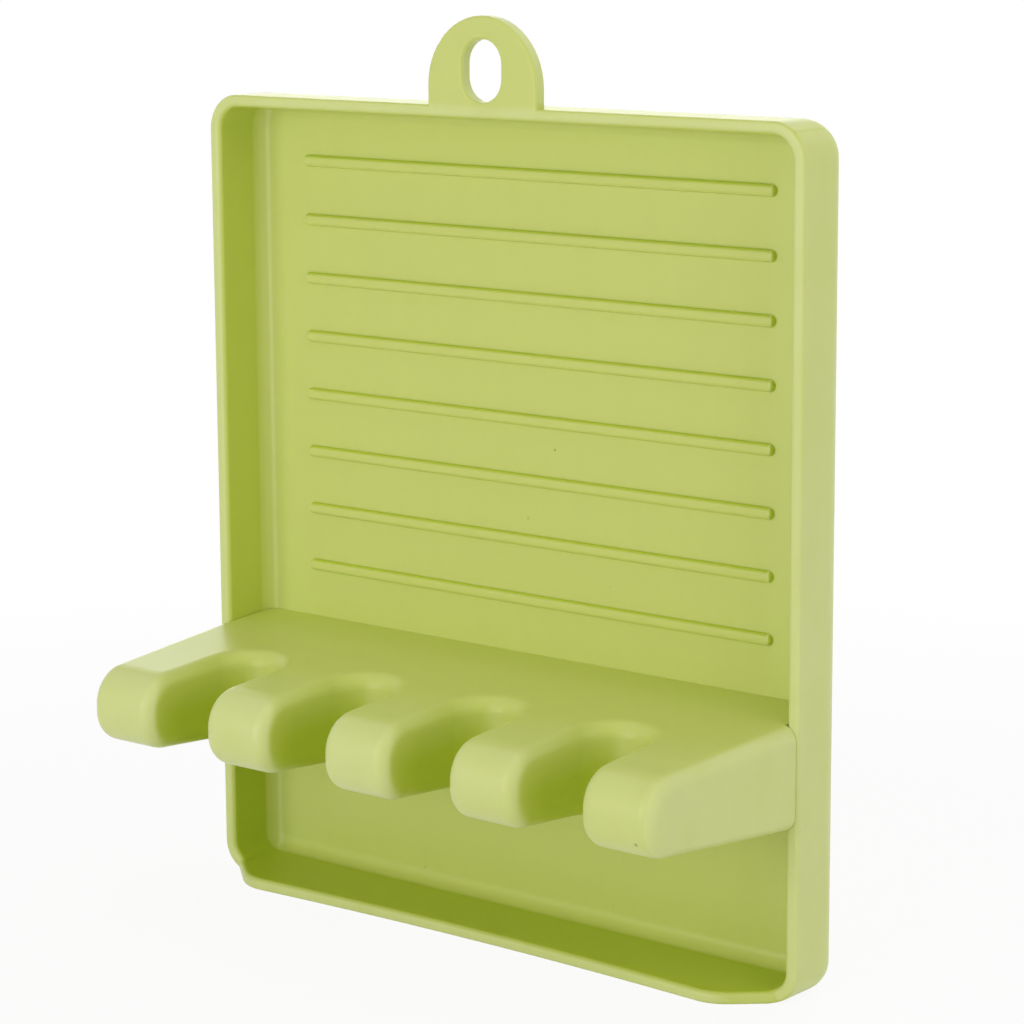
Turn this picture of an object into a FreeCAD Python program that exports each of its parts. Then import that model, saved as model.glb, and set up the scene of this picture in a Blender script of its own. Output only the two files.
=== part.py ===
import FreeCAD, Part
import math
import os

import Sketcher
from FreeCAD import Vector

# Pot lid rack: a shallow tray that stands upright or hangs, with a forked shelf across its front.
# X runs along the width, Y from front to back and Z up. Lengths are in millimetres, angles in degrees.
# Each piece is drawn with Y = 0 on the front face of the tray's floor and Z = 0 where the rack stands.
SIZES = [
    ("tray_width", 165.0, "outside width of the tray"),
    ("tray_height", 184.3, "outside height of the tray, without the tab"),
    ("rim_depth", 14.4, "floor's front face to the front of the rim"),
    ("floor_thickness", 2.4, "thickness of the tray's floor"),
    ("wall_thickness", 2.8, "thickness of the tray's top and bottom walls"),
    ("side_thickness", 3.1, "thickness of the tray's side walls"),
    ("corner_radius", 8.0, "outside radius of the tray's upper corners"),
    ("foot_radius", 7.0, "outside radius of the tray's lower corners"),
    ("back_radius", 6.5, "outside radius where the walls turn into the back"),
    ("floor_radius", 3.0, "inside radius where the walls meet the floor"),
    ("rim_round", 0.8, "rounding of the rim's outer edges and of the tab"),
    ("rim_inner_round", 1.3, "rounding of the rim's inner edge"),
    ("lip_rise", 9.4, "how far the ends of the raised bottom wall stand in front of the rim"),
    ("lip_bow", 2.3, "how far the raised wall's front bows back in its middle"),
    ("ramp_inset", 4.5, "side of the tray to the foot of the ramp"),
    ("ramp_width", 10.8, "width of the ramp at each end of the raised wall"),
    ("ramp_head_radius", 10.0, "rounding at the head of each ramp"),
    ("ramp_foot_radius", 1.5, "rounding at the foot of each ramp"),
    ("stand_inset", 12.0, "side of the tray to the end of the squared bottom edge"),
    ("stand_chamfer", 0.8, "chamfer of the squared bottom edge"),
    ("rib_count", 8, "number of ribs on the floor"),
    ("rib_pitch", 13.55, "distance between ribs"),
    ("rib_inset", 16.5, "side of the tray to the end of a rib"),
    ("rib_width", 2.7, "width of a rib"),
    ("rib_height", 1.3, "height of a rib above the floor"),
    ("rib_round", 1.0, "rounding along the top of a rib"),
    ("rib_margin", 15.4, "top of the tray to the middle of the first rib"),
    ("tab_width", 30.4, "width of the hanging tab"),
    ("tab_offset", -1.25, "middle of the tray to the middle of the tab"),
    ("tab_height", 19.4, "height of the tab above the tray"),
    ("tab_thickness", 2.7, "thickness of the tab"),
    ("hang_slot_width", 10.6, "width of the hanging slot"),
    ("hang_slot_height", 13.5, "height of the hanging slot"),
    ("hang_slot_margin", 5.0, "top of the tab to the top of the slot"),
    ("shelf_inset", 0.5, "side of the tray to the end of the shelf, at the rim"),
    ("shelf_level", 37.0, "underside of the shelf at the floor, above the base"),
    ("shelf_height", 24.7, "height of the shelf at the floor"),
    ("shelf_reach", 60.3, "floor's front face to the tips of the fingers"),
    ("shelf_draft", 4.0, "taper of the shelf's outer faces towards the tips"),
    ("shell_thickness", 2.8, "wall of the hollow shelf"),
    ("finger_count", 5, "number of fingers"),
    ("slot_width", 16.4, "width of the slots between fingers"),
    ("slot_depth", 30.1, "finger tips to the end of a slot"),
    ("nose_top_radius", 8.6, "rounding of the finger tips, above"),
    ("nose_bottom_radius", 7.2, "rounding of the finger tips, below"),
    ("edge_round", 3.4, "rounding of the edges along slots and ends"),
    ("fit_gap", 0.2, "clearance between the shelf and the tray's walls"),
    ("shoulder_gap", 0.1, "clearance between the shelf's shoulders and the rim"),
    ("spigot_height", 3.5, "height of the locating rim inside the shelf"),
    ("spigot_thickness", 1.6, "wall of the locating rim"),
    ("boss_diameter", 7.0, "outside diameter of a screw boss"),
    ("boss_length", 18.0, "length of a screw boss"),
    ("web_thickness", 1.6, "thickness of the web that carries a boss"),
    ("web_clearance", 1.0, "locating rim to the start of a web"),
    ("screw_diameter", 2.9, "outside diameter of a screw's thread"),
    ("screw_length", 13.0, "overall length of a screw"),
    ("screw_point", 2.5, "length of a screw's point"),
    ("head_diameter", 5.5, "diameter of a screw's head"),
    ("head_height", 1.7, "height of a screw's conical head"),
    ("head_recess", 0.2, "back of the tray to the top of a screw's head"),
    ("drive_width", 0.7, "width of the cross recess in a screw's head"),
    ("drive_length", 2.8, "length of the cross recess in a screw's head"),
    ("drive_depth", 1.0, "depth of the cross recess in a screw's head"),
    ("screw_gap", 0.05, "clearance round a screw"),
    ("screw_tail", 1.0, "room left past the tip of a screw"),
    ("cut_margin", 2.0, "how far a cut runs past the faces it opens"),
]

POSITION_TOLERANCE = 0.01
FULL_TURN = 360

doc = FreeCAD.newDocument("pot_lid_rack")
sheet = doc.addObject("Spreadsheet::Sheet", "Sizes")
for row, (alias, value, note) in enumerate(SIZES, start=1):
    sheet.set(f"A{row}", alias)
    sheet.set(f"B{row}", str(value))
    sheet.setAlias(f"B{row}", alias)
    sheet.set(f"C{row}", note)
doc.recompute()


def size(alias):
    """The sheet's value of one driving size."""
    return float(sheet.get(alias))


def cells(expression):
    """An expression on the sheet's aliases, with each alias pointed at the sheet."""
    for alias in sorted((entry[0] for entry in SIZES), key=len, reverse=True):
        expression = expression.replace("{" + alias + "}", "Sizes." + alias)
    return expression


def new_body(label):
    """A body with a name of its own."""
    body = doc.addObject("PartDesign::Body", label)
    body.Label = label
    return body


def new_sketch(body, name, plane, offset="0", across="0"):
    """A sketch on one of the body's own planes, moved along that plane's normal and across it."""
    sketch = body.newObject("Sketcher::SketchObject", name)
    support = next(part for part in body.Origin.OriginFeatures if part.Role == plane)
    sketch.AttachmentSupport = [(support, "")]
    sketch.MapMode = "FlatFace"
    sketch.setExpression("AttachmentOffset.Base.z", cells(offset))
    sketch.setExpression("AttachmentOffset.Base.x", cells(across))
    return sketch


def evaluate(expression):
    """The number that an expression on the sheet gives now."""
    return float(sheet.evalExpression(cells(expression)))


def place_point(sketch, geometry, end, across, up):
    """Holds one point of a sketch at a place worked out from the sheet."""
    for kind, expression in (("DistanceX", across), ("DistanceY", up)):
        index = sketch.addConstraint(Sketcher.Constraint(kind, -1, 1, geometry, end, evaluate(expression)))
        sketch.setExpression(f"Constraints[{index}]", cells(expression))


def polygon(sketch, corners):
    """A closed outline of straight edges through corners given as expressions."""
    points = [Vector(evaluate(across), evaluate(up), 0) for across, up in corners]
    lines = []
    for index, start in enumerate(points):
        stop = points[(index + 1) % len(points)]
        lines.append(sketch.addGeometry(Part.LineSegment(start, stop), False))
    for index, line in enumerate(lines):
        following = lines[(index + 1) % len(lines)]
        sketch.addConstraint(Sketcher.Constraint("Coincident", line, 2, following, 1))
        place_point(sketch, line, 1, *corners[index])


def rectangle(sketch, left, right, bottom, top):
    """A rectangle between four expressions."""
    polygon(sketch, [(left, bottom), (right, bottom), (right, top), (left, top)])


def rounded_rectangle(sketch, left, right, bottom, top, lower_radius, upper_radius):
    """A rectangle between four expressions, with its lower and its upper corners rounded."""
    up_z = Vector(0, 0, 1)
    corners = [
        (right, top, -1, -1, upper_radius),
        (left, top, 1, -1, upper_radius),
        (left, bottom, 1, 1, lower_radius),
        (right, bottom, -1, 1, lower_radius),
    ]
    arcs = []
    for quarter, (across, up, inward, upward, radius) in enumerate(corners):
        inset = evaluate(radius)
        middle = Vector(evaluate(across) + inward * inset, evaluate(up) + upward * inset, 0)
        start = quarter * math.pi / 2
        arc = Part.ArcOfCircle(Part.Circle(middle, up_z, inset), start, start + math.pi / 2)
        arcs.append(sketch.addGeometry(arc, False))
        across_middle = f"{across} + {inward} * ({radius})"
        place_point(sketch, arcs[-1], 3, across_middle, f"{up} + {upward} * ({radius})")
        bound = sketch.addConstraint(Sketcher.Constraint("Radius", arcs[-1], inset))
        sketch.setExpression(f"Constraints[{bound}]", cells(radius))
    for index, arc in enumerate(arcs):
        following = arcs[(index + 1) % len(arcs)]
        start = sketch.Geometry[arc].EndPoint
        stop = sketch.Geometry[following].StartPoint
        line = sketch.addGeometry(Part.LineSegment(start, stop), False)
        sketch.addConstraint(Sketcher.Constraint("Tangent", arc, 2, line, 1))
        sketch.addConstraint(Sketcher.Constraint("Tangent", line, 2, following, 1))


def circle(sketch, across, up, diameter):
    """A circle with its middle and its diameter given as expressions."""
    middle = Vector(evaluate(across), evaluate(up), 0)
    index = sketch.addGeometry(Part.Circle(middle, Vector(0, 0, 1), evaluate(diameter) / 2), False)
    place_point(sketch, index, 3, across, up)
    bound = sketch.addConstraint(Sketcher.Constraint("Diameter", index, evaluate(diameter)))
    sketch.setExpression(f"Constraints[{bound}]", cells(diameter))


def straight_slot(sketch, start, stop, radius):
    """A slot with round ends, from one middle to the other, both given as pairs of expressions."""
    first = Vector(evaluate(start[0]), evaluate(start[1]), 0)
    last = Vector(evaluate(stop[0]), evaluate(stop[1]), 0)
    along = math.atan2(last.y - first.y, last.x - first.x)
    reach = evaluate(radius)
    side = Vector(-math.sin(along), math.cos(along), 0) * reach
    quarter = math.pi / 2
    up_z = Vector(0, 0, 1)
    head = sketch.addGeometry(
        Part.ArcOfCircle(Part.Circle(last, up_z, reach), along - quarter, along + quarter), False)
    tail = sketch.addGeometry(
        Part.ArcOfCircle(Part.Circle(first, up_z, reach), along + quarter, along + 3 * quarter), False)
    over = sketch.addGeometry(Part.LineSegment(last + side, first + side), False)
    under = sketch.addGeometry(Part.LineSegment(first - side, last - side), False)
    sketch.addConstraint(Sketcher.Constraint("Tangent", head, 2, over, 1))
    sketch.addConstraint(Sketcher.Constraint("Tangent", over, 2, tail, 1))
    sketch.addConstraint(Sketcher.Constraint("Tangent", tail, 2, under, 1))
    sketch.addConstraint(Sketcher.Constraint("Tangent", under, 2, head, 1))
    place_point(sketch, head, 3, *stop)
    place_point(sketch, tail, 3, *start)
    bound = sketch.addConstraint(Sketcher.Constraint("Radius", head, reach))
    sketch.setExpression(f"Constraints[{bound}]", cells(radius))


def extrude(body, kind, name, sketch, length, towards_normal=True):
    """A pad or a pocket of a sketch, along the sketch's normal or against it."""
    feature = body.newObject("PartDesign::" + kind, name)
    feature.Profile = sketch
    feature.setExpression("Length", cells(length))
    against = kind == "Pocket"
    feature.Reversed = towards_normal == against
    doc.recompute()
    return feature


def turn(body, kind, name, sketch):
    """A full turn of a sketch about its own upright axis, added or cut away."""
    feature = body.newObject("PartDesign::" + kind, name)
    feature.Profile = sketch
    feature.ReferenceAxis = (sketch, ["V_Axis"])
    feature.Angle = FULL_TURN
    doc.recompute()
    return feature


def edges_where(feature, test):
    """The names of a feature's edges that pass a test."""
    return [f"Edge{index}" for index, edge in enumerate(feature.Shape.Edges, start=1) if test(edge)]


def round_edges(body, name, feature, radius, test):
    """A fillet on the edges of the body's last feature that pass a test."""
    fillet = body.newObject("PartDesign::Fillet", name)
    fillet.Base = (feature, edges_where(feature, test))
    fillet.setExpression("Radius", cells(radius))
    doc.recompute()
    return fillet


def repeat(body, name, features, role, count, pitch, reverse=False):
    """A row of copies of some features along one of the body's own axes."""
    pattern = body.newObject("PartDesign::LinearPattern", name)
    pattern.Originals = features
    axis = next(part for part in body.Origin.OriginFeatures if part.Role == role)
    pattern.Direction = (axis, [""])
    pattern.Reversed = reverse
    pattern.Mode = "Spacing"
    pattern.setExpression("Offset", cells(pitch))
    pattern.setExpression("Occurrences", cells(count))
    body.Tip = pattern
    doc.recompute()
    return pattern


def close_to(value, target):
    """True where two positions are the same."""
    return abs(value - target) < POSITION_TOLERANCE


def flat_at(edge, axis, position):
    """True where an edge lies in the plane at one position along an axis."""
    box = edge.BoundBox
    low = getattr(box, axis + "Min")
    high = getattr(box, axis + "Max")
    return close_to(low, position) and close_to(high, position)


def runs_along(edge, axis):
    """True where an edge is straight along one axis."""
    others = [name for name in "XYZ" if name != axis]
    return all(close_to(getattr(edge.BoundBox, name + "Length"), 0) for name in others)


# Places that more than one piece uses, as expressions on the sheet.
HALF_WIDTH = "{tray_width} / 2"
INSIDE_HALF_WIDTH = "({tray_width} / 2 - {side_thickness})"
LIP_REACH = "({rim_depth} + {lip_rise})"
SHELF_TOP = "({shelf_level} + {shelf_height})"
SCREW_LEVEL = "({shelf_level} + {shelf_height} / 2)"
SLOPE = "tan({shelf_draft} * 1deg)"
SHELF_HALF_WIDTH = "({tray_width} / 2 - {shelf_inset})"
TIP_HALF_WIDTH = "(" + SHELF_HALF_WIDTH + " - ({shelf_reach} - {rim_depth}) * " + SLOPE + ")"
FINGER_PITCH = "((2 * " + TIP_HALF_WIDTH + " + {slot_width}) / {finger_count})"
FIRST_FINGER = "(-({finger_count} - 1) / 2 * " + FINGER_PITCH + ")"
FIRST_SLOT = "(-({finger_count} - 2) / 2 * " + FINGER_PITCH + ")"
SLOT_END = "({shelf_reach} - {slot_depth})"
ROOT_HALF_WIDTH = "(" + INSIDE_HALF_WIDTH + " - {fit_gap})"
SHOULDER = "({rim_depth} + {shoulder_gap})"
HEAD_TOP = "({floor_thickness} - {head_recess})"
SCREW_TIP = "({screw_length} - {floor_thickness} + {head_recess})"


# Tray


def make_tray():
    """The tray: floor, walls, raised bottom wall, tab, ribs, locating rim and screw holes."""
    tray = new_body("tray")

    outline = new_sketch(tray, "tray_outline", "XZ_Plane", "-{floor_thickness}")
    rounded_rectangle(outline, "-" + HALF_WIDTH, HALF_WIDTH, "0", "{tray_height}",
                      "{foot_radius}", "{corner_radius}")
    block = extrude(tray, "Pad", "tray_block", outline, "{floor_thickness} + " + LIP_REACH)
    back = size("floor_thickness")
    round_edges(tray, "tray_back_edge", block, "{back_radius}", lambda edge: flat_at(edge, "Y", back))

    # The bottom's back edge is squared between the corners, so that the rack stands on its full depth.
    stand = new_sketch(tray, "stand_profile", "YZ_Plane")
    polygon(stand, [
        ("{floor_thickness} - {back_radius}", "0"),
        ("{floor_thickness} - {stand_chamfer}", "0"),
        ("{floor_thickness}", "{stand_chamfer}"),
        ("{floor_thickness}", "{back_radius}"),
    ])
    foot_pad = extrude(tray, "Pad", "stand", stand, "{tray_width} - 2 * {stand_inset}")
    foot_pad.SideType = "Symmetric"
    doc.recompute()

    hollow = new_sketch(tray, "tray_inside", "XZ_Plane", LIP_REACH)
    rounded_rectangle(hollow, "-" + INSIDE_HALF_WIDTH, INSIDE_HALF_WIDTH, "{wall_thickness}",
                      "{tray_height} - {wall_thickness}", "{foot_radius} - {wall_thickness}",
                      "{corner_radius} - {wall_thickness}")
    inside = extrude(tray, "Pocket", "tray_hollow", hollow, LIP_REACH, towards_normal=False)
    round_edges(tray, "tray_floor_edge", inside, "{floor_radius}", lambda edge: flat_at(edge, "Y", 0))

    # The rim is cut back round the top and the sides. The bottom wall stays, with a ramp at each end.
    foot = "({tray_width} / 2 - {ramp_inset})"
    half_lip = "(" + foot + " - {ramp_width})"
    clear_side = "(" + HALF_WIDTH + " + {cut_margin})"
    clear_front = "(" + LIP_REACH + " + {cut_margin})"
    profile = new_sketch(tray, "rim_profile", "XY_Plane", "-{cut_margin}")
    for side in ("-", ""):
        polygon(profile, [
            (side + clear_side, "-{rim_depth}"),
            (side + foot, "-{rim_depth}"),
            (side + half_lip, "-" + LIP_REACH),
            (side + half_lip, "-" + clear_front),
            (side + clear_side, "-" + clear_front),
        ])
    extrude(tray, "Pocket", "rim_cut", profile, "{tray_height} + 2 * {cut_margin}")
    bow = new_sketch(tray, "bow_outline", "XY_Plane", "-{cut_margin}")
    draw_bow(bow, half_lip, clear_front)
    extrude(tray, "Pocket", "bow_cut", bow, "{tray_height} / 2")
    upper = new_sketch(tray, "upper_rim_outline", "XZ_Plane", "{rim_depth}")
    rectangle(upper, "-" + clear_side, clear_side, "{tray_height} / 2", "{tray_height} + {cut_margin}")
    cut = extrude(tray, "Pocket", "upper_rim_cut", upper, "{lip_rise} + {cut_margin}")
    rim_front = -size("rim_depth")
    ramp_head = evaluate(half_lip)
    ramp_foot = evaluate(foot)
    inner_side = evaluate(INSIDE_HALF_WIDTH)
    floor_line = size("wall_thickness")
    ceiling = evaluate("{tray_height} - {wall_thickness}")

    def upright_at(place):
        return lambda edge: runs_along(edge, "Z") and close_to(abs(edge.BoundBox.XMin), place)

    cut = round_edges(tray, "ramp_heads", cut, "{ramp_head_radius}", upright_at(ramp_head))
    round_edges(tray, "ramp_feet", cut, "{ramp_foot_radius}", upright_at(ramp_foot))

    tab = new_sketch(tray, "tab_outline", "XZ_Plane", "{rim_depth}", "{tab_offset}")
    draw_tab(tab)
    tab_pad = extrude(tray, "Pad", "hanging_tab", tab, "{tab_thickness}", towards_normal=False)

    def rim_edge(edge):
        box = edge.BoundBox
        in_front = box.YMax < rim_front + POSITION_TOLERANCE
        return in_front and not runs_along(edge, "Z") or flat_at(edge, "Y", rim_front)

    def inner_edge(edge):
        box = edge.BoundBox
        above_floor = box.ZMin > floor_line - POSITION_TOLERANCE
        below_ceiling = box.ZMax < ceiling + POSITION_TOLERANCE
        between_sides = abs(box.Center.x) < inner_side + POSITION_TOLERANCE
        return rim_edge(edge) and above_floor and below_ceiling and between_sides

    def outer_edge(edge):
        return rim_edge(edge) and not inner_edge(edge)

    outer = round_edges(tray, "rim_edges", tab_pad, "{rim_round}", outer_edge)
    round_edges(tray, "rim_inner_edges", outer, "{rim_inner_round}", inner_edge)

    rib = new_sketch(tray, "rib_outline", "XZ_Plane")
    rib_level = "{tray_height} - {rib_margin}"
    rib_middle = "({tray_width} / 2 - {rib_inset} - {rib_width} / 2)"
    straight_slot(rib, ("-" + rib_middle, rib_level), (rib_middle, rib_level), "{rib_width} / 2")
    first_rib = extrude(tray, "Pad", "first_rib", rib, "{rib_height}")
    ribs = repeat(tray, "ribs", [first_rib], "Z_Axis", "{rib_count}", "{rib_pitch}", reverse=True)
    rib_top = -size("rib_height")
    round_edges(tray, "rib_tops", ribs, "{rib_round}", lambda edge: flat_at(edge, "Y", rib_top))

    # The locating rim stands inside the hollow shelf, which narrows towards its tips.
    play = "({shell_thickness} + {fit_gap} + {spigot_height} * " + SLOPE + ")"
    spigot = new_sketch(tray, "spigot_outline", "XZ_Plane")
    for inset in ("0", "{spigot_thickness}"):
        half_spigot = ROOT_HALF_WIDTH + " - " + play + " - " + inset
        rectangle(spigot, "-(" + half_spigot + ")", half_spigot, "{shelf_level} + " + play + " + " + inset,
                  SHELF_TOP + " - " + play + " - " + inset)
    extrude(tray, "Pad", "locating_rim", spigot, "{spigot_height}")

    hole = new_sketch(tray, "screw_hole_outline", "XY_Plane", SCREW_LEVEL, FIRST_FINGER)
    bore = "({screw_diameter} / 2 + {screw_gap})"
    sink = "({head_diameter} / 2 + {screw_gap})"
    polygon(hole, [
        ("0", "-{cut_margin}"),
        (bore, "-{cut_margin}"),
        (bore, HEAD_TOP + " - {head_height}"),
        (sink, HEAD_TOP),
        (sink, "{floor_thickness} + {cut_margin}"),
        ("0", "{floor_thickness} + {cut_margin}"),
    ])
    first_hole = turn(tray, "Groove", "first_screw_hole", hole)
    repeat(tray, "screw_holes", [first_hole], "X_Axis", "{finger_count}", FINGER_PITCH)
    return tray


def draw_bow(sketch, half_span, clear_front):
    """What is cut away in front of the raised wall, up to an arc between the heads of its ramps."""
    corners = [
        (half_span, "-" + LIP_REACH),
        (half_span, "-" + clear_front),
        ("-" + half_span, "-" + clear_front),
        ("-" + half_span, "-" + LIP_REACH),
    ]
    places = [Vector(evaluate(across), evaluate(along), 0) for across, along in corners]
    deepest = Vector(0, evaluate("{lip_bow} - " + LIP_REACH), 0)
    arc = sketch.addGeometry(Part.Arc(places[0], deepest, places[-1]), False)
    radius = "(" + half_span + " ^ 2 + {lip_bow} ^ 2) / (2 * {lip_bow})"
    bound = sketch.addConstraint(Sketcher.Constraint("Radius", arc, evaluate(radius)))
    sketch.setExpression(f"Constraints[{bound}]", cells(radius))
    lines = []
    for index in range(len(corners) - 1):
        lines.append(sketch.addGeometry(Part.LineSegment(places[index], places[index + 1]), False))
        place_point(sketch, lines[-1], 1, *corners[index])
    place_point(sketch, lines[-1], 2, *corners[-1])
    for line, following in zip(lines, lines[1:]):
        sketch.addConstraint(Sketcher.Constraint("Coincident", line, 2, following, 1))
    sketch.addConstraint(Sketcher.Constraint("Coincident", arc, 1, lines[0], 1))
    sketch.addConstraint(Sketcher.Constraint("Coincident", arc, 2, lines[-1], 2))


def draw_tab(sketch):
    """The tab's arch, which starts inside the top wall, and the hanging slot in it."""
    radius = evaluate("{tab_width} / 2")
    base = evaluate("{tray_height} - {wall_thickness} / 2")
    spring = evaluate("{tray_height} + {tab_height} - {tab_width} / 2")
    middle = Vector(0, spring, 0)
    arch = sketch.addGeometry(
        Part.ArcOfCircle(Part.Circle(middle, Vector(0, 0, 1), radius), 0, math.pi), False)
    left = sketch.addGeometry(Part.LineSegment(Vector(-radius, spring, 0), Vector(-radius, base, 0)), False)
    bottom = sketch.addGeometry(Part.LineSegment(Vector(-radius, base, 0), Vector(radius, base, 0)), False)
    right = sketch.addGeometry(Part.LineSegment(Vector(radius, base, 0), Vector(radius, spring, 0)), False)
    sketch.addConstraint(Sketcher.Constraint("Tangent", arch, 2, left, 1))
    sketch.addConstraint(Sketcher.Constraint("Coincident", left, 2, bottom, 1))
    sketch.addConstraint(Sketcher.Constraint("Coincident", bottom, 2, right, 1))
    sketch.addConstraint(Sketcher.Constraint("Tangent", right, 2, arch, 1))
    place_point(sketch, arch, 3, "0", "{tray_height} + {tab_height} - {tab_width} / 2")
    place_point(sketch, bottom, 1, "-{tab_width} / 2", "{tray_height} - {wall_thickness} / 2")
    place_point(sketch, bottom, 2, "{tab_width} / 2", "{tray_height} - {wall_thickness} / 2")
    upper = "{tray_height} + {tab_height} - {hang_slot_margin} - {hang_slot_width} / 2"
    lower = "{tray_height} + {tab_height} - {hang_slot_margin} - {hang_slot_height} + {hang_slot_width} / 2"
    straight_slot(sketch, ("0", lower), ("0", upper), "{hang_slot_width} / 2")


# Fork shelf


def draw_side(sketch, wall, back):
    """The shelf's side view, its faces moved inwards by a wall and its root taken back past the floor."""
    sunk = wall + " / cos({shelf_draft} * 1deg)"
    nose = "({shelf_reach} - " + wall + ")"
    polygon(sketch, [
        (back, "{shelf_level} + " + sunk + " - " + back + " * " + SLOPE),
        (back, SHELF_TOP + " - " + sunk + " + " + back + " * " + SLOPE),
        ("-" + nose, SHELF_TOP + " - " + sunk + " - " + nose + " * " + SLOPE),
        ("-" + nose, "{shelf_level} + " + sunk + " + " + nose + " * " + SLOPE),
    ])


def make_fork(label, wall, back, root_corners):
    """A forked block, its faces moved inwards by a wall and its root shaped by the corners given."""
    fork = new_body(label)
    side = new_sketch(fork, label + "_side", "YZ_Plane")
    draw_side(side, wall, back)
    full_width = "2 * " + SHELF_HALF_WIDTH + " + 2 * {cut_margin}"
    block = extrude(fork, "Pad", label + "_block", side, full_width)
    block.SideType = "Symmetric"
    doc.recompute()
    nose = -evaluate("{shelf_reach} - " + wall)
    middle = evaluate(SCREW_LEVEL)

    def upper_nose(edge):
        return runs_along(edge, "X") and close_to(edge.BoundBox.YMin, nose) and edge.BoundBox.ZMin > middle

    def lower_nose(edge):
        return runs_along(edge, "X") and close_to(edge.BoundBox.YMin, nose) and edge.BoundBox.ZMin < middle

    block = round_edges(fork, label + "_nose_top", block, "{nose_top_radius} - " + wall, upper_nose)
    round_edges(fork, label + "_nose_bottom", block, "{nose_bottom_radius} - " + wall, lower_nose)

    # Both ends are cut to their taper, from the root to the tips.
    ends = new_sketch(fork, label + "_ends", "XY_Plane", "{shelf_level} - {cut_margin}")
    tip = "(" + TIP_HALF_WIDTH + " - " + wall + ")"
    outside = "(" + SHELF_HALF_WIDTH + " + 2 * {cut_margin})"
    end_corners = root_corners + [
        (tip, "-{shelf_reach}"),
        (tip, "-{shelf_reach} - {cut_margin}"),
        (outside, "-{shelf_reach} - {cut_margin}"),
        (outside, root_corners[0][1]),
    ]
    for mirror in ("-", ""):
        polygon(ends, [(mirror + across, along) for across, along in end_corners])
    extrude(fork, "Pocket", label + "_end_cut", ends, "{shelf_height} + 2 * {cut_margin}")

    slot = new_sketch(fork, label + "_slot", "XY_Plane", "{shelf_level} - {cut_margin}", FIRST_SLOT)
    half_slot = "({slot_width} / 2 + " + wall + ")"
    open_end = ("0", "-{shelf_reach} - {slot_width}")
    closed_end = ("0", "-" + SLOT_END + " - {slot_width} / 2")
    straight_slot(slot, open_end, closed_end, half_slot)
    first_slot = extrude(fork, "Pocket", label + "_first_slot", slot, "{shelf_height} + 2 * {cut_margin}")
    repeat(fork, label + "_slots", [first_slot], "X_Axis", "{finger_count} - 1", FINGER_PITCH)
    return fork


def make_fork_shelf():
    """The hollow shelf with its rounded edges, and the bosses that take its screws."""
    shelf = make_fork("fork_shelf", "0", "0", [
        (ROOT_HALF_WIDTH, "{cut_margin}"),
        (ROOT_HALF_WIDTH, "-" + SHOULDER),
        (SHELF_HALF_WIDTH, "-" + SHOULDER),
    ])
    rim = -size("rim_depth")

    def long_edge(edge):
        in_front = edge.BoundBox.YMax < rim
        return in_front and not runs_along(edge, "X") and not runs_along(edge, "Z")

    def root_corner(edge):
        return runs_along(edge, "Z") and close_to(edge.BoundBox.YMin, 0)

    rounded = round_edges(shelf, "fork_edges", shelf.Tip, "{edge_round}", long_edge)
    round_edges(shelf, "root_corners", rounded, "{floor_radius} + {fit_gap}", root_corner)

    core_half_width = "(" + ROOT_HALF_WIDTH + " - {shell_thickness})"
    core = make_fork("fork_core", "{shell_thickness}", "{cut_margin}", [
        (core_half_width, "2 * {cut_margin}"),
        (core_half_width, "-" + SHOULDER),
    ])
    hollow = shelf.newObject("PartDesign::Boolean", "fork_hollow")
    hollow.setObjects([core])
    hollow.Type = "Cut"
    doc.recompute()

    boss = new_sketch(shelf, "boss_outline", "XZ_Plane", "0", FIRST_FINGER)
    circle(boss, "0", SCREW_LEVEL, "{boss_diameter}")
    first_boss = extrude(shelf, "Pad", "first_boss", boss, "{boss_length}")

    # A web ties each boss to the shelf's top and underside, past the locating rim.
    web_start = "({spigot_height} + {web_clearance})"
    sunk = "({shell_thickness} / 2 + (" + web_start + " + {boss_length}) / 2 * " + SLOPE + ")"
    web = new_sketch(shelf, "web_outline", "XZ_Plane", web_start, FIRST_FINGER)
    half_web = "{web_thickness} / 2"
    rectangle(web, "-" + half_web, half_web, "{shelf_level} + " + sunk, SHELF_TOP + " - " + sunk)
    first_web = extrude(shelf, "Pad", "first_web", web, "{boss_length} - " + web_start)

    pilot = new_sketch(shelf, "pilot_outline", "XZ_Plane", "0", FIRST_FINGER)
    circle(pilot, "0", SCREW_LEVEL, "{screw_diameter} + 2 * {screw_gap}")
    first_pilot = extrude(shelf, "Pocket", "first_pilot", pilot, SCREW_TIP + " + {screw_tail}")
    repeat(shelf, "bosses", [first_boss, first_web, first_pilot], "X_Axis", "{finger_count}", FINGER_PITCH)
    return shelf


# Screws


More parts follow.
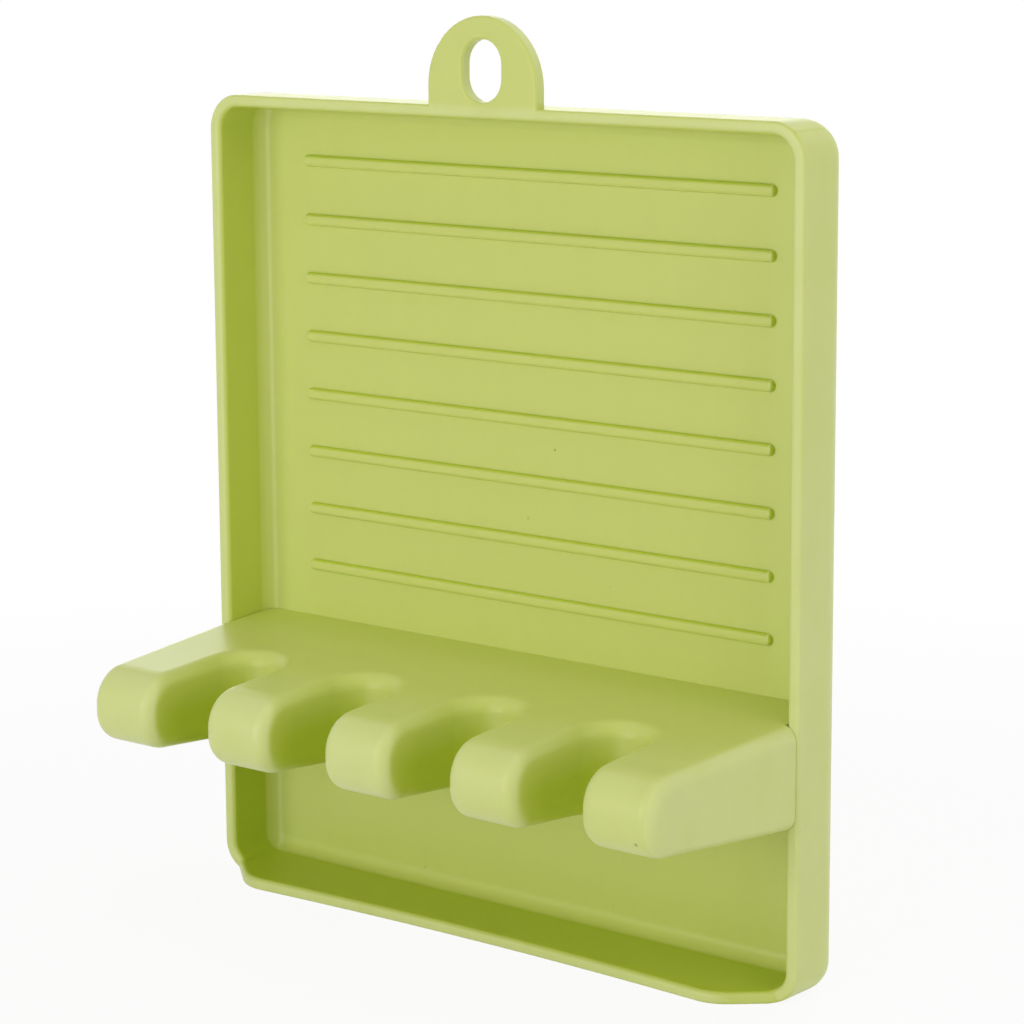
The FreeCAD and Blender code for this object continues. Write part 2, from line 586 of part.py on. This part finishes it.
def make_shelf_screws():
    """The countersunk screws that hold the shelf, in one row."""
    screws = new_body("shelf_screws")
    profile = new_sketch(screws, "screw_outline", "XY_Plane", SCREW_LEVEL, FIRST_FINGER)
    polygon(profile, [
        ("0", HEAD_TOP),
        ("{head_diameter} / 2", HEAD_TOP),
        ("{screw_diameter} / 2", HEAD_TOP + " - {head_height}"),
        ("{screw_diameter} / 2", "{screw_point} - " + SCREW_TIP),
        ("0", "-" + SCREW_TIP),
    ])
    first_screw = turn(screws, "Revolution", "first_screw", profile)

    drive = new_sketch(screws, "drive_outline", "XZ_Plane", "-" + HEAD_TOP, FIRST_FINGER)
    near = "{drive_width} / 2"
    far = "{drive_length} / 2"
    low = SCREW_LEVEL + " - "
    high = SCREW_LEVEL + " + "
    polygon(drive, [
        ("-" + near, low + far), (near, low + far), (near, low + near), (far, low + near),
        (far, high + near), (near, high + near), (near, high + far), ("-" + near, high + far),
        ("-" + near, high + near), ("-" + far, high + near),
        ("-" + far, low + near), ("-" + near, low + near),
    ])
    first_drive = extrude(screws, "Pocket", "first_drive", drive, "{drive_depth}")
    repeat(screws, "screw_row", [first_screw, first_drive], "X_Axis", "{finger_count}", FINGER_PITCH)
    return screws


def write_pieces(pieces):
    """Checks every object, then writes one file for each piece."""
    doc.recompute()
    for item in doc.Objects:
        if "Invalid" in item.State or "Error" in item.State:
            raise RuntimeError(f"{item.Name} failed: {item.State}")
    os.makedirs("parts", exist_ok=True)
    for piece in pieces:
        if piece.Shape.isNull() or not piece.Shape.isValid():
            raise RuntimeError(f"{piece.Label} has no sound shape")
        piece.Shape.exportStep(f"parts/{piece.Label}.step")
        box = piece.Shape.BoundBox
        print(piece.Label, len(piece.Shape.Solids), "solids", round(piece.Shape.Volume, 1), box)


pieces = [make_tray(), make_fork_shelf(), make_shelf_screws()]
for piece in pieces:
    # The origin is below the middle of the whole rack, on the surface it stands on.
    piece.setExpression("Placement.Base.y", cells("({shelf_reach} - {floor_thickness}) / 2"))
write_pieces(pieces)
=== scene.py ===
import math

import bpy
from mathutils import Matrix, Vector

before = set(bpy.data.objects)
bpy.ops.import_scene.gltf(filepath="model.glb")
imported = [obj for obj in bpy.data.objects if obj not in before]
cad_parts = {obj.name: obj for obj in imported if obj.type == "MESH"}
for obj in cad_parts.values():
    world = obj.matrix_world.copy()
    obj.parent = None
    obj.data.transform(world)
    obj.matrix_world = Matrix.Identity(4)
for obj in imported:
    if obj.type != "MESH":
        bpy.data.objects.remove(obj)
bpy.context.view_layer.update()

# Pot lid rack of satin green plastic, on a plain pale floor. Lengths are in metres, angles in degrees.
MM = 0.001
WHITE = (1.0, 1.0, 1.0, 1.0)

# Camera, as it stood for the photograph.
CAMERA_PLACE = Vector((0.4555, -0.5339, 0.2314))
CAMERA_AZIMUTH = 39.29
CAMERA_ELEVATION = 10.746
CAMERA_ROLL = -0.321
LENS_MM = 116.51
SENSOR_MM = 36.0

# Soft square lamps round the rack: azimuth from the front towards the right, elevation and power in watts.
LAMPS = {
    "front_lamp": (-12, 0, 4.8),
    "front_high_lamp": (0, 28, 0.95),
    "right_lamp": (80, 4, 1.9),
    "right_high_lamp": (80, 45, 1.2),
    "back_right_lamp": (130, 8, 0.8),
    "top_lamp": (0, 85, 1.3),
    "back_lamp": (170, 45, 1.6),
    "back_left_lamp": (-141, 11, 2.0),
}
LAMP_DISTANCE = 1.0
LAMP_SIZE = 0.7
LAMP_TARGET = Vector((0, 0, 0.1))
WORLD_LIGHT = 0.245
BACKGROUND = 1.0

# Floor, which keeps a faint shadow near the rack and is plain white further away.
FLOOR_SIZE = 40.0
FLOOR_COLOUR = (0.90, 0.90, 0.89, 1.0)
FLOOR_SHADOW = 0.08
SHADOW_NEAR = 0.16
SHADOW_FAR = 0.45

# Plastic: its plain tint, a deeper one that paints shade into the recesses and a paler one that paints sheen
# and highlights on exposed faces.
LIME = (0.664, 0.726, 0.193, 1.0)
LIME_PAINTED_SHADE = (0.521, 0.629, 0.047, 1.0)
LIME_PAINTED_SHEEN = (0.733, 0.797, 0.312, 1.0)

# Where the painted shade and painted sheen set in on the tray, in millimetres, from none of it to all.
OUTER_WALL = (80.4, 81.4)
OUTER_TOP = (60.0, 180.0)
INNER_WALL = (80.2, 79.6)
BELOW_SHELF = (40.0, 34.0)
RIM = (17.0, 15.2)
WALL_FOOT = (26.3, 25.0)
INSIDE_TOP = (183.0, 182.2)
INSIDE_LOW = (1.5, 2.5)
FLOOR_FOOT = (26.2, 27.2)
FLOOR_SIDES = (60.0, 75.0)
TAB = (183.0, 185.5)
TAB_EDGES = (184.8, 186.0)
RIB_FOOT = (27.6, 28.1)
RIB_ENDS = (72.0, 70.0)
RIBS_BELOW = (66.0, 70.0)
RIBS_ABOVE = (176.0, 172.0)

# Where the painted shade and painted sheen set in on the shelf, in millimetres, from none of it to all.
SHELF_ENDS = (66.0, 72.0)
SHELF_ROOT = (8.0, 29.0)
SHELF_FRONT = (0.0, -22.0)
SLOT_SIDES = (70.0, 64.0)
SLOT_ROOT = (-24.0, -13.0)
SLOT_DROP = (58.0, 47.0)
SLOT_FRONT = (-31.0, -24.0)
FINGERTIPS = (-17.0, -24.0)
RIGHT_TIPS = (5.0, 70.0)

# How far a face looks the way that counts, from none of a tint to all of it.
PARTLY = (0.15, 0.55)
SLOT_FACE = (0.55, 1.08)
WALL_FACE = (0.69, 0.2)
RIM_FACE = (0.7, 0.99)
FILLET_START = (0.15, 0.33)
FILLET_END = (0.62, 0.44)
ROOT_ALLOWANCE = 0.35

# Shares of the painted shade tint and of the painted sheen tint, where a place has less than all of it.
WALL_SHADE = 0.55
SLOT_TOP_SHADE = 0.25
SLOT_FRONT_SHADE = 0.5
ROOT_SHADE = 0.35
TAB_SHEEN = 0.25
TOP_SHEEN = 0.45
RIGHT_TIP_SHEEN = 0.6
FILLET_HIGHLIGHT = 0.9
FLOOR_SIDE_SHEEN = 0.3
OUTER_TOP_SHEEN = 0.5

# Dark specks moulded into the plastic: their place in millimetres, how wide and how dark they are.
SPECKS = (
    ((7.3, 28.9, 108.7), 0.9, 0.75),
    ((-0.4, 28.9, 92.5), 1.2, 0.25),
    ((22.6, 28.9, 79.9), 0.7, 0.2),
    ((-31.8, 28.9, 6.0), 0.9, 0.25),
    ((74.8, -30.6, 44.6), 1.3, 0.6),
    ((36.7, -31.3, 55.3), 0.8, 0.2),
    ((49.5, -30.1, 56.3), 0.8, 0.25),
    ((44.0, -10.5, 49.1), 0.8, 0.3),
    ((44.0, -15.0, 46.6), 0.8, 0.2),
    ((82.5, 17.7, 38.7), 0.8, 0.15),
    ((38.9, 29.0, 10.8), 0.8, 0.15),
    ((23.4, 29.0, 7.3), 0.8, 0.15),
)
SPECK_COLOUR = (0.10, 0.11, 0.03, 1.0)

# Plastic's surface: patches in the painted sheen, flow streaks, grain, and how it shines and lets light in.
PATCH_SCALE = 90.0
PATCH_DETAIL = 5.0
PATCH_EDGE = (0.3, 0.6)
LEAST_SHEEN = 0.75
FLOW_SCALE = (170.0, 170.0, 24.0)
STREAK_LEVELS = (0.985, 1.015)
GRAIN_SCALE = 2600.0
GRAIN_STRENGTH = 0.04
GRAIN_DEPTH = 0.1 * MM
FINE_DETAIL = 2.0
PLASTIC_ROUGHNESS = (0.30, 0.42)
PLASTIC_IOR = 1.49
SHINE = 0.3
SCATTER = 0.12
SCATTER_RADIUS = (1.0, 1.1, 0.35)
SCATTER_DEPTH = 1.2 * MM

# Zinc-plated steel of the screws.
STEEL_DARK = (0.42, 0.42, 0.40, 1.0)
STEEL_LIGHT = (0.62, 0.62, 0.60, 1.0)
STAIN_SCALE = 900.0
STAIN_DETAIL = 4.0
STEEL_ROUGHNESS = (0.25, 0.45)


def add_node(tree, kind, settings=None, inputs=None):
    """A new node with its settings and inputs, each input a value or another node's output."""
    made = tree.nodes.new("ShaderNode" + kind)
    for name, value in (settings or {}).items():
        setattr(made, name, value)
    for name, value in (inputs or {}).items():
        socket = made.inputs[name]
        if isinstance(value, bpy.types.NodeSocket):
            tree.links.new(value, socket)
        else:
            socket.default_value = value
    return made


def calculate(tree, operation, *values):
    """The output of a Math node on some values or outputs."""
    return add_node(tree, "Math", {"operation": operation}, dict(enumerate(values))).outputs[0]


def noise(tree, place, scale, detail):
    """Noise from 0 to 1 over a place."""
    return add_node(tree, "TexNoise", inputs={"Vector": place, "Scale": scale, "Detail": detail}).outputs[0]


def ramp(tree, value, low, high):
    """Smoothly from 0 at low to 1 at high."""
    return add_node(tree, "MapRange", {"interpolation_type": "SMOOTHSTEP"},
                    {"Value": value, "From Min": low, "From Max": high}).outputs[0]


def within(tree, value, limits):
    """Smoothly from 0 at the first limit to 1 at the second, both in millimetres."""
    first, last = limits
    return ramp(tree, value, first * MM, last * MM)


def between(tree, share, low, high):
    """A level that goes from low to high with a share."""
    return add_node(tree, "MapRange", inputs={"Value": share, "To Min": low, "To Max": high}).outputs[0]


def both(tree, *shares):
    """The product of some shares."""
    result = shares[0]
    for share in shares[1:]:
        result = calculate(tree, "MULTIPLY", result, share)
    return result


def most(tree, *shares):
    """The largest of some shares."""
    result = shares[0]
    for share in shares[1:]:
        result = calculate(tree, "MAXIMUM", result, share)
    return result


def split(tree, vector):
    """The three numbers of a vector."""
    return add_node(tree, "SeparateXYZ", inputs={0: vector}).outputs


def tint(tree, share, colour, other):
    """A colour that gives way to another one by a share."""
    return add_node(tree, "Mix", {"data_type": "RGBA"}, {0: share, 6: colour, 7: other}).outputs[2]


def new_material(name):
    """An empty node material and its tree, with the output node."""
    material = bpy.data.materials.new(name)
    material.use_nodes = True
    material.node_tree.nodes.clear()
    return material, material.node_tree, add_node(material.node_tree, "OutputMaterial")


def tray_shares(tree, spot, normal):
    """Where the tray gets painted sheen and highlights, on its outside, rim, fillets, tab edges and the
    floor beside the side walls, and painted shade, on its inner walls and ribs.
    """
    across, along, upward = split(tree, normal)
    x, y, z = split(tree, spot)
    offset = calculate(tree, "ABSOLUTE", x)
    sides = calculate(tree, "ABSOLUTE", across)
    front = ramp(tree, calculate(tree, "MULTIPLY", along, -1.0), *RIM_FACE)
    turned = ramp(tree, calculate(tree, "ABSOLUTE", along), *WALL_FACE)
    inside = within(tree, offset, INNER_WALL)
    near_floor = within(tree, y, FLOOR_FOOT)
    # Painted sheen on the outer walls, less towards the top, and on the rim's front faces.
    outside = both(tree, ramp(tree, sides, *PARTLY), within(tree, offset, OUTER_WALL),
                   between(tree, within(tree, z, OUTER_TOP), 1.0, OUTER_TOP_SHEEN))
    rim = both(tree, front, within(tree, y, RIM), between(tree, within(tree, z, TAB), 1.0, TAB_SHEEN))
    # Painted reflection on the tab's edges.
    tab_edges = both(tree, turned, within(tree, z, TAB_EDGES))
    # Painted highlight: a pale line along the floor's fillet by the inner walls.
    fillet = both(tree, ramp(tree, sides, *FILLET_START), ramp(tree, sides, *FILLET_END), inside,
                  between(tree, near_floor, 0.0, FILLET_HIGHLIGHT))
    # Painted light: the floor beside the side walls made paler.
    beside = both(tree, front, near_floor,
                  between(tree, within(tree, offset, FLOOR_SIDES), 0.0, FLOOR_SIDE_SHEEN))
    # Painted shade: a deeper tint on the inner walls, fuller below the shelf, and along the ribs.
    shade_strength = between(tree, within(tree, z, BELOW_SHELF), WALL_SHADE, 1.0)
    walls = both(tree, turned, inside, within(tree, y, WALL_FOOT), within(tree, z, INSIDE_TOP),
                 within(tree, z, INSIDE_LOW), shade_strength)
    ribs = both(tree, ramp(tree, most(tree, upward, sides), *PARTLY), within(tree, y, RIB_FOOT),
                within(tree, offset, RIB_ENDS), within(tree, z, RIBS_BELOW), within(tree, z, RIBS_ABOVE))
    return most(tree, outside, rim, fillet, beside, tab_edges), most(tree, walls, ribs)


def shelf_shares(tree, spot, normal):
    """Where the shelf gets painted sheen, at its tips, ends and the front of its top, and painted shade, in
    its slots and along its root.
    """
    across, along, upward = split(tree, normal)
    x, y, z = split(tree, spot)
    offset = calculate(tree, "ABSOLUTE", x)
    sides = calculate(tree, "ABSOLUTE", across)
    front = ramp(tree, calculate(tree, "MULTIPLY", along, -1.0), *PARTLY)
    top = ramp(tree, upward, *PARTLY)
    # Painted sheen on the shelf's ends, on its fingertips, less towards the right, and on the front of its
    # top.
    ends = both(tree, ramp(tree, sides, *PARTLY), within(tree, offset, SHELF_ENDS))
    tips = both(tree, front, within(tree, y, FINGERTIPS),
                between(tree, within(tree, x, RIGHT_TIPS), 1.0, RIGHT_TIP_SHEEN))
    fore = both(tree, top, between(tree, within(tree, y, SHELF_FRONT), 0.0, TOP_SHEEN))
    # Painted shade: a deeper tint on the shelf's top near its root and in its slots, fuller lower down and
    # further in.
    root = both(tree, top, between(tree, within(tree, y, SHELF_ROOT), 0.0, ROOT_SHADE))
    allowance = between(tree, within(tree, y, SLOT_ROOT), 0.0, ROOT_ALLOWANCE)
    inwards = ramp(tree, calculate(tree, "ADD", sides, allowance), *SLOT_FACE)
    shade_strength = between(tree, within(tree, z, SLOT_DROP), SLOT_TOP_SHADE, 1.0)
    fade = between(tree, within(tree, y, SLOT_FRONT), SLOT_FRONT_SHADE, 1.0)
    slots = both(tree, inwards, within(tree, offset, SLOT_SIDES), shade_strength, fade)
    return most(tree, ends, tips, fore), most(tree, slots, root)


def speck_share(tree, spot):
    """How dark the moulded-in specks make the plastic."""
    shares = []
    for middle, width, darkness in SPECKS:
        middle = Vector(middle) * MM
        away = add_node(tree, "VectorMath", {"operation": "DISTANCE"}, {0: spot, 1: middle}).outputs["Value"]
        shares.append(between(tree, ramp(tree, away, width * MM / 2, 0.0), 0.0, darkness))
    return most(tree, *shares)


def make_green_plastic(name, shares):
    """Satin moulded plastic with painted shade and painted sheen tints, faint flow streaks, specks and a
    fine grain.
    """
    material, tree, output = new_material(name)
    coordinates = add_node(tree, "TexCoord").outputs
    spot = coordinates["Object"]
    painted_sheen, painted_shade = shares(tree, spot, coordinates["Normal"])
    patches = ramp(tree, noise(tree, spot, PATCH_SCALE, PATCH_DETAIL), *PATCH_EDGE)
    patchy_sheen = both(tree, painted_sheen, between(tree, patches, LEAST_SHEEN, 1.0))
    # The deeper tint paints shade and the paler tint paints sheen and highlights.
    colour = tint(tree, patchy_sheen, tint(tree, painted_shade, LIME, LIME_PAINTED_SHADE), LIME_PAINTED_SHEEN)
    colour = tint(tree, speck_share(tree, spot), colour, SPECK_COLOUR)
    flow = add_node(tree, "Mapping", inputs={"Vector": spot, "Scale": FLOW_SCALE}).outputs[0]
    level = between(tree, noise(tree, flow, 1.0, FINE_DETAIL), *STREAK_LEVELS)
    colour = add_node(tree, "HueSaturation", inputs={"Value": level, "Color": colour}).outputs[0]
    grain = noise(tree, spot, GRAIN_SCALE, FINE_DETAIL)
    bump = add_node(tree, "Bump", inputs={
        "Height": grain, "Strength": GRAIN_STRENGTH, "Distance": GRAIN_DEPTH}).outputs[0]
    shader = add_node(tree, "BsdfPrincipled", inputs={
        "Base Color": colour, "Roughness": between(tree, grain, *PLASTIC_ROUGHNESS), "Normal": bump,
        "IOR": PLASTIC_IOR, "Specular IOR Level": SHINE, "Subsurface Weight": SCATTER,
        "Subsurface Radius": SCATTER_RADIUS, "Subsurface Scale": SCATTER_DEPTH})
    tree.links.new(shader.outputs[0], output.inputs["Surface"])
    return material


def make_screw_steel():
    """Zinc-plated steel."""
    material, tree, output = new_material("zinc_steel")
    place = add_node(tree, "TexCoord").outputs["Object"]
    stain = noise(tree, place, STAIN_SCALE, STAIN_DETAIL)
    shader = add_node(tree, "BsdfPrincipled", inputs={
        "Base Color": tint(tree, stain, STEEL_DARK, STEEL_LIGHT),
        "Roughness": between(tree, stain, *STEEL_ROUGHNESS), "Metallic": 1.0})
    tree.links.new(shader.outputs[0], output.inputs["Surface"])
    return material


def dress(node, material):
    """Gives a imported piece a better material."""
    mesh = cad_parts[node].data
    for index in range(len(mesh.materials)):
        mesh.materials[index] = material


def link_object(made):
    """Puts a new object in the scene."""
    bpy.context.scene.collection.objects.link(made)
    return made


def white_to_camera(tree):
    """1 for rays that come from the camera, a reflection or a see-through surface, else 0."""
    path = add_node(tree, "LightPath").outputs
    return most(tree, path["Is Camera Ray"], path["Is Glossy Ray"], path["Is Transmission Ray"])


def make_floor():
    """A wide pale floor that shows white, with a faint shadow of the rack."""
    half = FLOOR_SIZE / 2
    mesh = bpy.data.meshes.new("floor")
    corners = [(-half, -half, 0), (half, -half, 0), (half, half, 0), (-half, half, 0)]
    mesh.from_pydata(corners, [], [(0, 1, 2, 3)])
    floor = link_object(bpy.data.objects.new("floor", mesh))
    material, tree, output = new_material("pale_floor")
    matte = add_node(tree, "BsdfDiffuse", inputs={"Color": FLOOR_COLOUR}).outputs[0]
    glow = add_node(tree, "Emission", inputs={"Color": WHITE, "Strength": BACKGROUND}).outputs[0]
    place = add_node(tree, "TexCoord").outputs["Object"]
    away = add_node(tree, "VectorMath", {"operation": "LENGTH"}, {0: place}).outputs["Value"]
    white = between(tree, ramp(tree, away, SHADOW_NEAR, SHADOW_FAR), 1 - FLOOR_SHADOW, 1.0)
    share = both(tree, white_to_camera(tree), white)
    mixed = add_node(tree, "MixShader", inputs={0: share, 1: matte, 2: glow}).outputs[0]
    tree.links.new(mixed, output.inputs["Surface"])
    mesh.materials.append(material)


def make_world():
    """Even soft light from all round, with a white background."""
    world = bpy.data.worlds.new("studio")
    bpy.context.scene.world = world
    world.use_nodes = True
    tree = world.node_tree
    tree.nodes.clear()
    strength = between(tree, white_to_camera(tree), WORLD_LIGHT, BACKGROUND)
    background = add_node(tree, "Background", inputs={"Color": WHITE, "Strength": strength}).outputs[0]
    output = add_node(tree, "OutputWorld")
    tree.links.new(background, output.inputs["Surface"])


def make_lamp(name, azimuth, elevation, watts):
    """A square soft lamp that points at the rack."""
    light = bpy.data.lights.new(name, "AREA")
    light.size = LAMP_SIZE
    light.energy = watts
    lamp = link_object(bpy.data.objects.new(name, light))
    side = math.radians(azimuth)
    lift = math.radians(elevation)
    towards = Vector((math.sin(side) * math.cos(lift), -math.cos(side) * math.cos(lift), math.sin(lift)))
    lamp.location = LAMP_TARGET + towards * LAMP_DISTANCE
    lamp.rotation_mode = "QUATERNION"
    lamp.rotation_quaternion = towards.to_track_quat("Z", "Y")


def make_camera():
    """The camera at the photograph's angle."""
    camera = bpy.data.cameras.new("camera")
    camera.lens = LENS_MM
    camera.sensor_width = SENSOR_MM
    view = link_object(bpy.data.objects.new("camera", camera))
    azimuth = math.radians(CAMERA_AZIMUTH)
    elevation = math.radians(CAMERA_ELEVATION)
    right = Vector((math.cos(azimuth), math.sin(azimuth), 0))
    back = Vector((math.sin(azimuth) * math.cos(elevation), -math.cos(azimuth) * math.cos(elevation),
                   math.sin(elevation)))
    turn = Matrix((right, back.cross(right), back)).transposed().to_4x4()
    roll = Matrix.Rotation(math.radians(CAMERA_ROLL), 4, "Z")
    view.matrix_world = Matrix.Translation(CAMERA_PLACE) @ turn @ roll
    bpy.context.scene.camera = view


dress("tray", make_green_plastic("tray_plastic", tray_shares))
dress("fork_shelf", make_green_plastic("shelf_plastic", shelf_shares))
dress("shelf_screws", make_screw_steel())
make_floor()
make_world()
for lamp_name, lamp_setting in LAMPS.items():
    make_lamp(lamp_name, *lamp_setting)
make_camera()
bpy.context.scene.view_settings.view_transform = "Standard"
